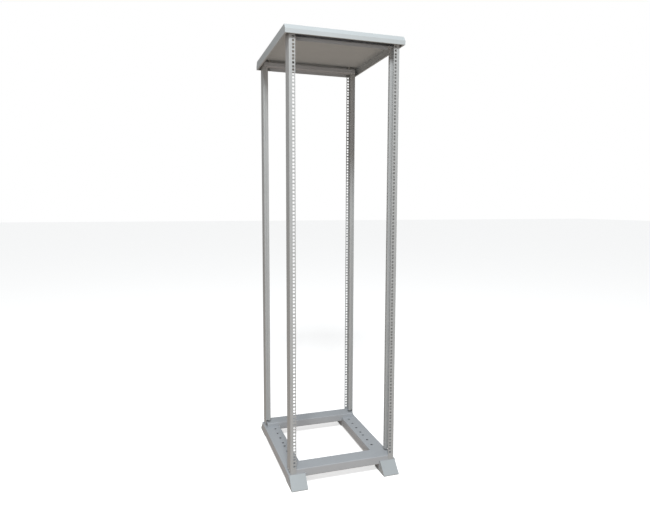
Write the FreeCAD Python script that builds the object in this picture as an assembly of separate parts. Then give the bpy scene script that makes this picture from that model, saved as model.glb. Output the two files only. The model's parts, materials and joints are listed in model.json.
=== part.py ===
import FreeCAD, Part
import math
import os

os.makedirs("parts", exist_ok=True)

# Open four-post 19 inch rack frame, 42 units high.
# X runs left to right, Y runs front to back, Z is up; the floor is Z = 0 and
# the origin lies in the middle of the footprint. All lengths in millimetres.
# "Depth" is measured from the front mounting plane towards the rear; front and
# rear halves mirror each other, and so do the left and the right.

# ---- 19 inch mounting pattern ----
unit = 44.45                     # height of one rack unit
unit_count = 42
hole_offsets = (6.35, 22.225, 38.1)   # hole centres above the bottom of a unit
hole_side = 9.5                  # square cage-nut hole
hole_column_x = 232.55           # half of the 465.1 mm column spacing
bay_half = 224.0                 # inner edge of the mounting flange
mount_depth = 604.0              # front to rear mounting plane

# ---- levels ----
skid_top = 56.0
base_top = 76.0
first_unit_z = 85.0
frame_top = 1978.0
cover_top = 1992.0

# ---- corner posts ----
post_t = 2.0
post_outer = 251.0               # outer face of the web
web_depth = 60.0                 # free rear edge of the web
shelf_depth = 44.0               # front face of the inner strip, welded to the web
post_depth = 64.0                # rear face of the plain flange
leg_x = 226.0                    # face of the inner strip that looks into the bay
plain_edge = 240.0               # outer edge of the plain flange, beside the groove
groove_depth = 58.0              # floor of the groove between the plain flange and the web
strip_bottom = 88.0              # the inner strip stops above the base beam
leg_hole = 6.0                   # small square holes down the inner strip
leg_hole_depth = 54.0
bend = 1.5                       # inner bend radius of the 2 mm sheet

# ---- base ----
skid_inner = 180.0
skid_outer = 260.0
skid_bottom = 10.0
skid_t = 2.0
skid_lip = 28.0                  # bottom flange between the feet
skid_hole_x = 210.0
skid_hole_d = 12.5
skid_hole_pitch = 58.0
skid_hole_gap = 37.0             # narrower gap in the middle of the row
skid_hole_pairs = 4
beam_t = 2.0
beam_depth = 78.0
beam_bottom = 38.0
beam_lip = 14.0
beam_clear = 1.0                 # gap between a beam web and a skid flank
pad_half = 22.0                  # bolted pads folded inwards from the beam webs
pad_reach = 15.0

# ---- feet ----
foot_reach = 51.0                # toe in front of the mounting plane
foot_tail = 75.0
foot_sole_end = 55.0
foot_t = 2.0
foot_heel_z = 20.0
foot_trim = 8.0                  # cheeks stop short of the folded toe
foot_clear = 3.0                 # gap between a foot and the skid lips

# ---- top beams ----
top_web_front = 33.0             # outer face of the low, set-back web
top_web_bottom = 1941.0
top_web_half = 210.0             # the set-back web stops short of the posts
top_shelf_z = 1957.0             # middle of the sheet that joins the two webs
top_band_back = 66.0             # face of the high web that looks into the bay
top_plate_front = 36.0           # free edge of the plate that carries the cover
notch_clear = 3.0

# ---- end tabs that close the beams against the post webs ----
beam_half = 247.0
base_tab = (8.0, 50.0)
top_tab = (40.0, 60.0)

# ---- cover ----
cover_t = 1.5
cover_half = 270.6
cover_overhang = 16.0
cover_skirt_bottom = 1953.5
cover_break = 1971.0             # lower edge of the sloped band, front and rear
cover_slope = 16.0               # how far the band leans inwards
cover_lip = 8.0
spacer_x = 218.0
spacer_depth = 51.0
spacer_d = 18.0

# ---- fasteners ----
m6 = 6.0
m8 = 8.0
head_m6_d = 10.5
head_m6_h = 3.3
socket_m6 = 4.0
socket_floor = 1.3
nut_m6_af = 10.0
nut_m6_h = 5.0
head_m8_af = 13.0
head_m8_h = 5.3
nut_m8_h = 6.5
washer_m8_d = 16.0
washer_m8_h = 1.6
m6_hole = 6.6
m8_hole = 8.8
thread_gap = 0.05                # radial gap between a nut and its screw
corner_chamfer = 0.12
tip_chamfer = 0.12
joint_gap = 0.5
tool_hole_d = 20.0
cover_screw_length = 22.0
side_screw_length = 11.0
anchor_length = 18.0
base_screws = ((20.0, 66.0), (40.0, 66.0))       # depth and height
top_screws = ((39.5, 1967.0), (53.5, 1967.0))
anchor_x = 220.0
anchor_depths = (20.0, 62.0)

V = FreeCAD.Vector
half_depth = mount_depth / 2.0
strip_top = top_shelf_z - beam_t / 2.0           # the inner strips end under the top beams


def box(x0, x1, y0, y1, z0, z1):
    low = V(min(x0, x1), min(y0, y1), min(z0, z1))
    return Part.makeBox(abs(x1 - x0), abs(y1 - y0), abs(z1 - z0), low)


def cylinder(diameter, height, base, axis=V(0, 0, 1)):
    return Part.makeCylinder(diameter / 2.0, height, base, axis)


def ribbon(path, thickness, inner_radius, place):
    """Face of a folded strip that follows a centre line; place maps (u, v) to 3-D."""
    half = thickness / 2.0
    mid_radius = inner_radius + half
    count = len(path)
    heads = []
    for i in range(count - 1):
        du = path[i + 1][0] - path[i][0]
        dv = path[i + 1][1] - path[i][1]
        length = math.hypot(du, dv)
        heads.append((du / length, dv / length))

    def rail(side):
        pieces = []
        start = (path[0][0] - side * half * heads[0][1], path[0][1] + side * half * heads[0][0])
        cursor = start
        for i in range(1, count - 1):
            a = heads[i - 1]
            b = heads[i]
            turn = math.atan2(a[0] * b[1] - a[1] * b[0], a[0] * b[0] + a[1] * b[1])
            setback = mid_radius * math.tan(abs(turn) / 2.0)
            left = 1.0 if turn > 0 else -1.0
            corner = path[i]
            enter = (corner[0] - a[0] * setback, corner[1] - a[1] * setback)
            leave = (corner[0] + b[0] * setback, corner[1] + b[1] * setback)
            centre = (enter[0] - left * a[1] * mid_radius, enter[1] + left * a[0] * mid_radius)
            radius = mid_radius - left * side * half
            first = (enter[0] - side * half * a[1], enter[1] + side * half * a[0])
            last = (leave[0] - side * half * b[1], leave[1] + side * half * b[0])
            bisector = (corner[0] - centre[0], corner[1] - centre[1])
            reach = math.hypot(bisector[0], bisector[1])
            middle = (centre[0] + bisector[0] / reach * radius, centre[1] + bisector[1] / reach * radius)
            pieces.append(("line", cursor, first))
            pieces.append(("arc", first, middle, last))
            cursor = last
        end = (path[-1][0] - side * half * heads[-1][1], path[-1][1] + side * half * heads[-1][0])
        pieces.append(("line", cursor, end))
        return start, pieces, end

    left_start, left_pieces, left_end = rail(1.0)
    right_start, right_pieces, right_end = rail(-1.0)
    edges = []
    for piece in left_pieces + right_pieces:
        points = [place(u, v) for u, v in piece[1:]]
        if piece[0] == "arc":
            edges.append(Part.Arc(*points).toShape())
        else:
            edges.append(Part.makeLine(*points))
    edges.append(Part.makeLine(place(*left_start), place(*right_start)))
    edges.append(Part.makeLine(place(*left_end), place(*right_end)))
    return Part.Face(Part.Wire(Part.__sortEdges__(edges)))


def mirrored(shape, right, front):
    """A shape is drawn for the front right corner; flip it to any other corner."""
    result = shape
    if not right:
        result = result.mirror(V(0, 0, 0), V(1, 0, 0))
    if not front:
        result = result.mirror(V(0, 0, 0), V(0, 1, 0))
    return result


def turned(shape, base, axis):
    """Stand a shape that was drawn along +Z at the origin on a base point and axis."""
    result = shape.copy()
    result.Placement = FreeCAD.Placement(base, FreeCAD.Rotation(V(0, 0, 1), axis))
    return result


def hexagon(across_flats, height):
    """Hexagonal prism with both ends of its corners turned off."""
    corner_radius = across_flats / math.sqrt(3.0)
    corners = []
    for k in range(7):
        angle = math.radians(60.0 * k)
        corners.append(V(corner_radius * math.cos(angle), corner_radius * math.sin(angle), 0))
    prism = Part.Face(Part.makePolygon(corners)).extrude(V(0, 0, height))
    blank = cylinder(2.0 * corner_radius, height, V(0, 0, 0))
    rims = blank.Edges[0:1] + blank.Edges[2:3]
    return prism.common(blank.makeChamfer(corner_radius * corner_chamfer, rims))


def nut(thread, across_flats, height):
    bore = cylinder(thread + 2.0 * thread_gap, height, V(0, 0, 0))
    return hexagon(across_flats, height).cut(bore)


def hex_bolt(thread, across_flats, head_height, length):
    """Seat at Z = 0, head above it and shank below it."""
    shank = cylinder(thread, length, V(0, 0, -length))
    rim = [edge for edge in shank.Edges if edge.CenterOfMass.z < -length + thread_gap]
    tip = shank.makeChamfer(thread * tip_chamfer, rim)
    return hexagon(across_flats, head_height).fuse(tip).removeSplitter()


def button_screw(length):
    """Low domed head with a hexagonal socket, seat at Z = 0."""
    radius = head_m6_d / 2.0
    ball = (radius * radius + head_m6_h * head_m6_h) / (2.0 * head_m6_h)
    dome = Part.makeSphere(ball, V(0, 0, head_m6_h - ball))
    head = dome.common(cylinder(head_m6_d, head_m6_h, V(0, 0, 0)))
    socket = hexagon(socket_m6, head_m6_h)
    socket.translate(V(0, 0, socket_floor))
    return head.cut(socket).fuse(cylinder(m6, length, V(0, 0, -length))).removeSplitter()


def front(depth):
    """Y of a plane that lies a given depth behind the front mounting plane."""
    return depth - half_depth


def plan(u, v):
    return V(u, front(v), 0)


def hole_heights():
    heights = []
    for k in range(unit_count):
        for offset in hole_offsets:
            heights.append(first_unit_z + k * unit + offset)
    return heights


def four_corners(shape):
    copies = []
    for is_front in (True, False):
        for is_right in (True, False):
            copies.append(mirrored(shape, is_right, is_front))
    return copies


def side_holes(screws):
    """Clearance holes for screws that run along X through the right end of a beam."""
    start = beam_half - beam_t
    return [cylinder(m6_hole, 4.0 * beam_t, V(start, front(depth), z), V(1, 0, 0)) for depth, z in screws]


def corner_post():
    """Perforated mounting flange and web, boxed in by an inner strip with a shallow groove."""
    half = post_t / 2.0
    channel = [(bay_half, half), (post_outer - half, half), (post_outer - half, web_depth)]
    outer = ribbon(channel, post_t, bend, plan)
    outer.translate(V(0, 0, skid_top))
    strip = [
        (post_outer - post_t, shelf_depth + half),
        (leg_x + half, shelf_depth + half),
        (leg_x + half, post_depth - half),
        (plain_edge - half, post_depth - half),
        (plain_edge - half, groove_depth - half),
        (post_outer - post_t, groove_depth - half),
    ]
    inner = ribbon(strip, post_t, bend, plan)
    inner.translate(V(0, 0, strip_bottom))
    body = outer.extrude(V(0, 0, frame_top - skid_top))
    body = body.fuse(inner.extrude(V(0, 0, strip_top - strip_bottom)))
    reach = hole_side / 2.0
    small = leg_hole / 2.0
    punches = side_holes(base_screws) + side_holes(top_screws)
    for z in hole_heights():
        punches.append(box(hole_column_x - reach, hole_column_x + reach,
                           front(-post_t), front(2.0 * post_t), z - reach, z + reach))
        punches.append(box(leg_x - post_t, leg_x + 2.0 * post_t,
                           front(leg_hole_depth - small), front(leg_hole_depth + small),
                           z - small, z + small))
    return body.cut(punches).removeSplitter()


def end_tab(depths, z_low, z_high):
    return box(beam_half, post_outer - post_t, front(depths[0]), front(depths[1]), z_low, z_high)


def both_sides(shapes):
    """Shapes for the right end of a beam, together with their mirror images."""
    return shapes + [shape.mirror(V(0, 0, 0), V(1, 0, 0)) for shape in shapes]


def folded_beam(path):
    section = ribbon(path, beam_t, bend, lambda u, v: V(-beam_half, front(u), v))
    return section.extrude(V(2.0 * beam_half, 0, 0))


def base_beam():
    """Folded channel laid across the skids, its webs notched where it sits on them."""
    half = beam_t / 2.0
    first = post_t + half
    last = post_t + beam_depth - half
    low = beam_bottom + half
    beam = folded_beam([(first + beam_lip, low), (first, low), (first, base_top - half),
                        (last, base_top - half), (last, low), (last - beam_lip, low)])
    over_skid = box(skid_inner - beam_clear, beam_half + beam_t,
                    front(0), front(beam_depth + 2.0 * beam_t), 0, skid_top)
    post_bend = box(beam_half - beam_t, beam_half + beam_t, front(0), front(first + beam_t), 0, base_top)
    pad_top = skid_top + beam_t
    pads = [
        box(anchor_x - pad_half, anchor_x + pad_half, front(first), front(anchor_depths[0] + pad_reach),
            skid_top, pad_top),
        box(anchor_x - pad_half, anchor_x + pad_half, front(anchor_depths[1] - pad_reach), front(last),
            skid_top, pad_top),
    ]
    holes = side_holes(base_screws)
    for depth in anchor_depths:
        holes.append(cylinder(m8_hole, 3.0 * beam_t, V(anchor_x, front(depth), skid_top - beam_t)))
    notched = beam.cut(both_sides([over_skid, post_bend]))
    joined = notched.fuse(both_sides(pads + [end_tab(base_tab, pad_top, base_top)]))
    return joined.cut(both_sides(holes)).removeSplitter()


def top_beam():
    """Stepped beam between the post tops: a plate, a high web over the posts and a low set-back web."""
    half = beam_t / 2.0
    first = top_web_front + half
    last = top_band_back - half
    high = frame_top - half
    beam = folded_beam([(first, top_web_bottom), (first, top_shelf_z), (last, top_shelf_z),
                        (last, high), (top_plate_front, high)])
    past_web = box(top_web_half, beam_half + beam_t, front(top_web_front - notch_clear),
                   front(top_web_front + beam_t + bend), top_web_bottom - beam_t, top_shelf_z + beam_t)
    holes = side_holes(top_screws)
    holes.append(cylinder(m6_hole, 3.0 * beam_t, V(spacer_x, front(spacer_depth), frame_top - 2.0 * beam_t)))
    notched = beam.cut(both_sides([past_web]))
    joined = notched.fuse(both_sides([end_tab(top_tab, strip_top, frame_top)]))
    return joined.cut(both_sides(holes)).removeSplitter()


def skid_hole_rows():
    """Y of the round holes: four pairs, spread evenly from the middle of the skid."""
    rows = []
    for k in range(skid_hole_pairs):
        offset = skid_hole_gap / 2.0 + k * skid_hole_pitch
        rows += [-offset, offset]
    return rows


def skid():
    """Long box-like channel that carries the frame on one side; its lips stop at the feet."""
    half = skid_t / 2.0
    low = skid_bottom + half
    path = [(skid_inner + skid_lip, low), (skid_inner + half, low), (skid_inner + half, skid_top - half),
            (skid_outer - half, skid_top - half), (skid_outer - half, low), (skid_outer - skid_lip, low)]
    section = ribbon(path, skid_t, bend, lambda u, v: V(u, -half_depth, v))
    body = section.extrude(V(0, mount_depth, 0))
    cuts = []
    for y in skid_hole_rows():
        cuts.append(cylinder(skid_hole_d, 3.0 * skid_t, V(skid_hole_x, y, skid_top - 2.0 * skid_t)))
    for side in (1.0, -1.0):
        for depth in anchor_depths:
            cuts.append(cylinder(m8_hole, 3.0 * skid_t,
                                 V(anchor_x, side * front(depth), skid_top - 2.0 * skid_t)))
        cuts.append(box(skid_inner + skid_t, skid_outer - skid_t, side * front(-foot_clear),
                        side * front(foot_tail + foot_clear),
                        skid_bottom - skid_t, skid_bottom + 2.0 * skid_t))
    return body.cut(cuts)


def foot():
    """Folded shoe with a raked toe, a sole, two cheeks and a tongue under the skid."""
    half = foot_t / 2.0
    tongue_z = skid_top - skid_t - half
    toe = (-foot_reach, half)
    crown = (0.0, tongue_z)
    path = [(foot_tail, tongue_z), crown, toe, (foot_sole_end, half)]
    inner = skid_inner + skid_t + joint_gap
    outer = skid_outer - skid_t - joint_gap
    section = ribbon(path, foot_t, bend, lambda u, v: V(inner, front(u), v))
    shell = section.extrude(V(outer - inner, 0, 0))
    rake = math.hypot(foot_reach, tongue_z - half)
    toe_top = (toe[0] + foot_trim * foot_reach / rake, toe[1] + foot_trim * (tongue_z - half) / rake)
    outline = [(foot_tail, tongue_z), crown, toe_top, (toe[0] + foot_trim, half), (foot_sole_end, half),
               (foot_tail, foot_heel_z), (foot_tail, tongue_z)]
    cheeks = []
    for x in (inner, outer - foot_t):
        profile = Part.Face(Part.makePolygon([V(x, front(u), v) for u, v in outline]))
        cheeks.append(profile.extrude(V(foot_t, 0, 0)))
    holes = [cylinder(tool_hole_d, 3.0 * foot_t, V(anchor_x, front(anchor_depths[0]), -foot_t))]
    for depth in anchor_depths:
        holes.append(cylinder(m8_hole, 3.0 * foot_t, V(anchor_x, front(depth), tongue_z - foot_t)))
    return shell.fuse(cheeks).cut(holes).removeSplitter()


def tray(inset, low):
    """Solid tray shape, offset inwards by a distance: upright sides, sloped bands front and rear."""
    lean = math.atan2(cover_slope, cover_top - cover_break)
    wall = half_depth + cover_overhang - inset
    shoulder = cover_break - inset * math.tan(lean / 2.0)
    edge = half_depth + cover_overhang - cover_slope - inset * math.tan((math.pi / 2.0 - lean) / 2.0)
    high = cover_top - inset
    x = cover_half - inset
    outline = [(-wall, low), (-wall, shoulder), (-edge, high), (edge, high), (wall, shoulder), (wall, low),
               (-wall, low)]
    section = Part.Face(Part.makePolygon([V(-x, y, z) for y, z in outline]))
    return section.extrude(V(2.0 * x, 0, 0))


def cover():
    """Pressed tray: flat top, sloped bands, skirt and a narrow inward lip."""
    shell = tray(0.0, cover_skirt_bottom)
    hollow = tray(cover_t, cover_skirt_bottom + cover_t)
    x = cover_half - cover_lip
    y = half_depth + cover_overhang - cover_lip
    mouth = box(-x, x, -y, y, cover_skirt_bottom - cover_t, cover_skirt_bottom + 2.0 * cover_t)
    screw_hole = cylinder(m6_hole, 3.0 * cover_t, V(spacer_x, front(spacer_depth), cover_top - 2.0 * cover_t))
    return shell.cut([hollow, mouth] + four_corners(screw_hole)).removeSplitter()


def group(shapes):
    return Part.makeCompound(shapes)


def export(name, shape):
    shape.exportStep("parts/" + name + ".step")


# ---- posts ----
post = corner_post()
for is_front, row in ((True, "front"), (False, "rear")):
    for is_right, side in ((True, "right"), (False, "left")):
        export("corner_post_" + row + "_" + side, mirrored(post, is_right, is_front))

# ---- beams ----
lower = base_beam()
upper = top_beam()
for is_front, row in ((True, "front"), (False, "rear")):
    export("base_beam_" + row, mirrored(lower, True, is_front))
    export("top_beam_" + row, mirrored(upper, True, is_front))

# ---- skids and feet ----
rail = skid()
shoe = foot()
for is_right, side in ((True, "right"), (False, "left")):
    export("base_skid_" + side, mirrored(rail, is_right, True))
    for is_front, row in ((True, "front"), (False, "rear")):
        export("foot_" + row + "_" + side, mirrored(shoe, is_right, is_front))

# ---- cover and its spacers ----
export("top_cover", cover())
spacer_seat = V(spacer_x, front(spacer_depth), frame_top)
spacer_height = cover_top - cover_t - frame_top
spacer = cylinder(spacer_d, spacer_height, spacer_seat).cut(cylinder(m6_hole, spacer_height, spacer_seat))
export("cover_spacers", group(four_corners(spacer)))

# ---- fasteners ----
cover_screw = turned(button_screw(cover_screw_length),
                     V(spacer_x, front(spacer_depth), cover_top), V(0, 0, 1))
export("cover_screws", group(four_corners(cover_screw)))
cover_nut = turned(nut(m6, nut_m6_af, nut_m6_h),
                   V(spacer_x, front(spacer_depth), frame_top - beam_t), V(0, 0, -1))
export("cover_nuts", group(four_corners(cover_nut)))

for level, places in (("base", base_screws), ("top", top_screws)):
    screws = []
    nuts = []
    for depth, z in places:
        seat = V(post_outer, front(depth), z)
        screws += four_corners(turned(button_screw(side_screw_length), seat, V(1, 0, 0)))
        inside = V(beam_half, front(depth), z)
        nuts += four_corners(turned(nut(m6, nut_m6_af, nut_m6_h), inside, V(-1, 0, 0)))
    export("post_" + level + "_screws", group(screws))
    export("post_" + level + "_nuts", group(nuts))

anchors = []
anchor_washers = []
anchor_nuts = []
washer_seat = skid_top - skid_t - foot_t - washer_m8_h
washer = cylinder(washer_m8_d, washer_m8_h, V(0, 0, 0)).cut(cylinder(m8_hole, washer_m8_h, V(0, 0, 0)))
for depth in anchor_depths:
    low = V(anchor_x, front(depth), washer_seat)
    high = V(anchor_x, front(depth), skid_top + beam_t)
    anchors += four_corners(turned(hex_bolt(m8, head_m8_af, head_m8_h, anchor_length), low, V(0, 0, -1)))
    anchor_washers += four_corners(turned(washer, low, V(0, 0, 1)))
    anchor_nuts += four_corners(turned(nut(m8, head_m8_af, nut_m8_h), high, V(0, 0, 1)))
export("base_bolts", group(anchors))
export("base_washers", group(anchor_washers))
export("base_nuts", group(anchor_nuts))
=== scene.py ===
import json
import math

import bpy
from mathutils import Matrix, Vector

# Open four-post 19 inch rack frame. Everything is in metres, in the row frame:
# +X to the right, +Y from front to back, +Z up, floor at Z = 0.

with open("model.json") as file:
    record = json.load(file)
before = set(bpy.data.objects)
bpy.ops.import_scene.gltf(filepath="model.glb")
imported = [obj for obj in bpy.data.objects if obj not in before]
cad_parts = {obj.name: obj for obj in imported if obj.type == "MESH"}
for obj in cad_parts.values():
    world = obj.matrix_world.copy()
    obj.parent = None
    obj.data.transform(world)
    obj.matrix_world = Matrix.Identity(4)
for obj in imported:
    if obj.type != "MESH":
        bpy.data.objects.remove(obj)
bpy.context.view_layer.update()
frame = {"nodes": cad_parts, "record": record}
nodes = frame["nodes"]

MM = 0.001
WHITE = (1.0, 1.0, 1.0)

# ---- paint and plating, as linear base colours ----
POST_GREY = (0.450, 0.464, 0.468)
FRAME_GREY = (0.468, 0.490, 0.516)
FOOT_GREY = (0.458, 0.494, 0.512)
COVER_GREY = (0.485, 0.520, 0.535)
SCREW_GREY = (0.430, 0.435, 0.435)
ZINC = (0.560, 0.555, 0.530)

# ---- powder coat; each noise is scale, detail, roughness and each span is two ramp stops ----
COAT_CLOUD = (9.0, 4.0, 0.55)
COAT_TONE = (0.975, 1.020)
COAT_SPECK = (900.0, 2.0, 0.6)
COAT_SPECK_SPAN = (0.36, 0.52)
COAT_GRAIN = (0.980, 1.0)
COAT_GLOSS_NOISE = (35.0, 3.0, 0.5)
COAT_GLOSS = (0.38, 0.48)
COVER_GLOSS = (0.46, 0.54)
COAT_SPECULAR = 0.35
COAT_PEEL = (420.0, 2.0, 0.45)
COAT_PEEL_STRENGTH = 0.04
COAT_PEEL_DEPTH = 0.25 * MM

# ---- zinc plating ----
ZINC_CLOUD = (160.0, 4.0, 0.6)
ZINC_TONE = (0.86, 1.12)
ZINC_GLOSS_NOISE = (600.0, 3.0, 0.5)
ZINC_GLOSS = (0.26, 0.44)
ZINC_SCRATCH = (1500.0, 2.0, 0.5)
ZINC_SCRATCH_STRENGTH = 0.12
ZINC_SCRATCH_DEPTH = 0.05 * MM

WIDE_SPAN = (0.3, 0.7)

# ---- floor ----
FLOOR_HALF = 40.0
FLOOR_WHITE = (0.900, 0.900, 0.900)
FLOOR_ROUGHNESS = 0.9
FLOOR_SPECULAR = 0.1
FLOOR_GLOW = 0.62
FLOOR_BOUNCE = (0.70, 0.585, 0.50)

# ---- light; each softbox is name, place, target, size, power, colour ----
ROOM_TINT = (0.97, 0.99, 1.0)
ROOM_STRENGTH = 0.34
SOFTBOXES = (
    ("key", (-1.0, -3.1, 4.7), (0.0, 0.0, 1.3), (1.0, 1.0), 180.0, (0.96, 0.99, 1.0)),
    ("fill", (-1.9, -2.9, 1.6), (0.0, 0.0, 1.2), (1.4, 1.4), 12.0, (0.97, 0.98, 1.0)),
)

# ---- camera; angles in degrees, lens and sensor in millimetres ----
CAMERA_PLACE = (-0.7898, -2.4659, 1.2509)
CAMERA_HEADING = -17.867
CAMERA_PITCH = -5.456
CAMERA_ROLL = 0.142
CAMERA_LENS = 28.952
CAMERA_SENSOR = 36.0
CAMERA_CLIP = (0.05, 200.0)


# ---- small helpers for node materials ----
def new_material(name):
    material = bpy.data.materials.new(name)
    material.use_nodes = True
    tree = material.node_tree
    return material, tree, tree.nodes["Principled BSDF"]


def noise(tree, settings):
    node = tree.nodes.new("ShaderNodeTexNoise")
    for socket, value in zip(("Scale", "Detail", "Roughness"), settings):
        node.inputs[socket].default_value = value
    coordinates = tree.nodes.new("ShaderNodeTexCoord")
    tree.links.new(coordinates.outputs["Object"], node.inputs["Vector"])
    return node.outputs["Fac"]


def ramp(tree, source, colours, span):
    node = tree.nodes.new("ShaderNodeValToRGB")
    for stop, position, colour in zip(node.color_ramp.elements, span, colours):
        stop.position = position
        stop.color = (*colour, 1.0)
    tree.links.new(source, node.inputs["Fac"])
    return node.outputs["Color"]


def scaled(colour, factors):
    return [tuple(channel * factor for channel in colour) for factor in factors]


def multiply(tree, first, second):
    node = tree.nodes.new("ShaderNodeMix")
    node.data_type = "RGBA"
    node.blend_type = "MULTIPLY"
    node.inputs["Factor"].default_value = 1.0
    tree.links.new(first, node.inputs["A"])
    tree.links.new(second, node.inputs["B"])
    return node.outputs["Result"]


def vary_gloss(tree, shader, settings, roughness_range):
    gloss = ramp(tree, noise(tree, settings), scaled(WHITE, roughness_range), WIDE_SPAN)
    tree.links.new(gloss, shader.inputs["Roughness"])


def roughen(tree, shader, settings, strength, depth):
    height = noise(tree, settings)
    bump = tree.nodes.new("ShaderNodeBump")
    bump.inputs["Strength"].default_value = strength
    bump.inputs["Distance"].default_value = depth
    tree.links.new(height, bump.inputs["Height"])
    tree.links.new(bump.outputs["Normal"], shader.inputs["Normal"])


def powder_coat(name, colour, gloss_range=COAT_GLOSS):
    """Satin powder coat: orange peel, fine specks and slow changes of tone and gloss."""
    material, tree, shader = new_material(name)
    tone = ramp(tree, noise(tree, COAT_CLOUD), scaled(colour, COAT_TONE), WIDE_SPAN)
    grain = ramp(tree, noise(tree, COAT_SPECK), scaled(WHITE, COAT_GRAIN), COAT_SPECK_SPAN)
    tree.links.new(multiply(tree, tone, grain), shader.inputs["Base Color"])
    vary_gloss(tree, shader, COAT_GLOSS_NOISE, gloss_range)
    shader.inputs["Specular IOR Level"].default_value = COAT_SPECULAR
    roughen(tree, shader, COAT_PEEL, COAT_PEEL_STRENGTH, COAT_PEEL_DEPTH)
    return material


def zinc_plate(name):
    """Bright zinc on a turned or forged fastener."""
    material, tree, shader = new_material(name)
    tone = ramp(tree, noise(tree, ZINC_CLOUD), scaled(ZINC, ZINC_TONE), WIDE_SPAN)
    tree.links.new(tone, shader.inputs["Base Color"])
    shader.inputs["Metallic"].default_value = 1.0
    vary_gloss(tree, shader, ZINC_GLOSS_NOISE, ZINC_GLOSS)
    roughen(tree, shader, ZINC_SCRATCH, ZINC_SCRATCH_STRENGTH, ZINC_SCRATCH_DEPTH)
    return material


MATERIALS = {
    "post_paint": powder_coat("post_powder_coat", POST_GREY),
    "frame_paint": powder_coat("frame_powder_coat", FRAME_GREY),
    "foot_paint": powder_coat("foot_powder_coat", FOOT_GREY),
    "cover_paint": powder_coat("cover_powder_coat", COVER_GREY, COVER_GLOSS),
    "painted_screw": powder_coat("screw_powder_coat", SCREW_GREY),
    "plated_steel": zinc_plate("zinc_plated_steel"),
}


def paint_frame():
    """Give every carried-over CAD node the material of its slot in the record."""
    for entry in frame["record"]["subparts"]:
        mesh = nodes[entry["node"]].data
        mesh.materials.clear()
        mesh.materials.append(MATERIALS[entry["material_slot"]])


# ---- stage ----
def for_camera(tree, seen, unseen):
    """The camera sees a clean white studio; the light that reaches the object is the room's own."""
    path = tree.nodes.new("ShaderNodeLightPath")
    mix = tree.nodes.new("ShaderNodeMixShader")
    tree.links.new(path.outputs["Is Camera Ray"], mix.inputs["Fac"])
    tree.links.new(unseen, mix.inputs[1])
    tree.links.new(seen, mix.inputs[2])
    return mix.outputs["Shader"]


def floor():
    half = FLOOR_HALF
    mesh = bpy.data.meshes.new("studio_floor")
    corners = [(-half, -half, 0), (half, -half, 0), (half, half, 0), (-half, half, 0)]
    mesh.from_pydata(corners, [], [(0, 1, 2, 3)])
    plane = bpy.data.objects.new("studio_floor", mesh)
    bpy.context.scene.collection.objects.link(plane)
    material, tree, shader = new_material("pale_floor")
    shader.inputs["Base Color"].default_value = (*FLOOR_WHITE, 1.0)
    shader.inputs["Roughness"].default_value = FLOOR_ROUGHNESS
    shader.inputs["Specular IOR Level"].default_value = FLOOR_SPECULAR
    shader.inputs["Emission Color"].default_value = (*WHITE, 1.0)
    shader.inputs["Emission Strength"].default_value = FLOOR_GLOW
    bounce = tree.nodes.new("ShaderNodeBsdfDiffuse")
    bounce.inputs["Color"].default_value = (*FLOOR_BOUNCE, 1.0)
    surface = for_camera(tree, shader.outputs["BSDF"], bounce.outputs["BSDF"])
    tree.links.new(surface, tree.nodes["Material Output"].inputs["Surface"])
    mesh.materials.append(material)


def softbox(name, place, target, size, power, colour):
    light = bpy.data.lights.new(name, "AREA")
    light.shape = "RECTANGLE"
    light.size, light.size_y = size
    light.energy = power
    light.color = colour
    lamp = bpy.data.objects.new(name, light)
    lamp.location = place
    lamp.rotation_euler = (Vector(target) - Vector(place)).to_track_quat("-Z", "Y").to_euler()
    bpy.context.scene.collection.objects.link(lamp)


def studio():
    world = bpy.data.worlds.new("studio")
    world.use_nodes = True
    tree = world.node_tree
    seen = tree.nodes["Background"]
    seen.inputs["Color"].default_value = (*WHITE, 1.0)
    seen.inputs["Strength"].default_value = 1.0
    room = tree.nodes.new("ShaderNodeBackground")
    room.inputs["Color"].default_value = (*ROOM_TINT, 1.0)
    room.inputs["Strength"].default_value = ROOM_STRENGTH
    surface = for_camera(tree, seen.outputs["Background"], room.outputs["Background"])
    tree.links.new(surface, tree.nodes["World Output"].inputs["Surface"])
    bpy.context.scene.world = world
    for settings in SOFTBOXES:
        softbox(*settings)


def camera():
    """Eye height on the left of the front, looking slightly down."""
    view = bpy.data.cameras.new("photo_view")
    view.sensor_width = CAMERA_SENSOR
    view.lens = CAMERA_LENS
    view.clip_start, view.clip_end = CAMERA_CLIP
    eye = bpy.data.objects.new("photo_view", view)
    heading = math.radians(CAMERA_HEADING)
    pitch = math.radians(CAMERA_PITCH)
    roll = math.radians(CAMERA_ROLL)
    spin = Matrix.Rotation(heading, 4, "Z") @ Matrix.Rotation(math.pi / 2.0 + pitch, 4, "X")
    spin = spin @ Matrix.Rotation(roll, 4, "Z")
    eye.matrix_world = Matrix.Translation(CAMERA_PLACE) @ spin
    bpy.context.scene.collection.objects.link(eye)
    bpy.context.scene.camera = eye


paint_frame()
floor()
studio()
camera()
bpy.context.scene.view_settings.view_transform = "Standard"
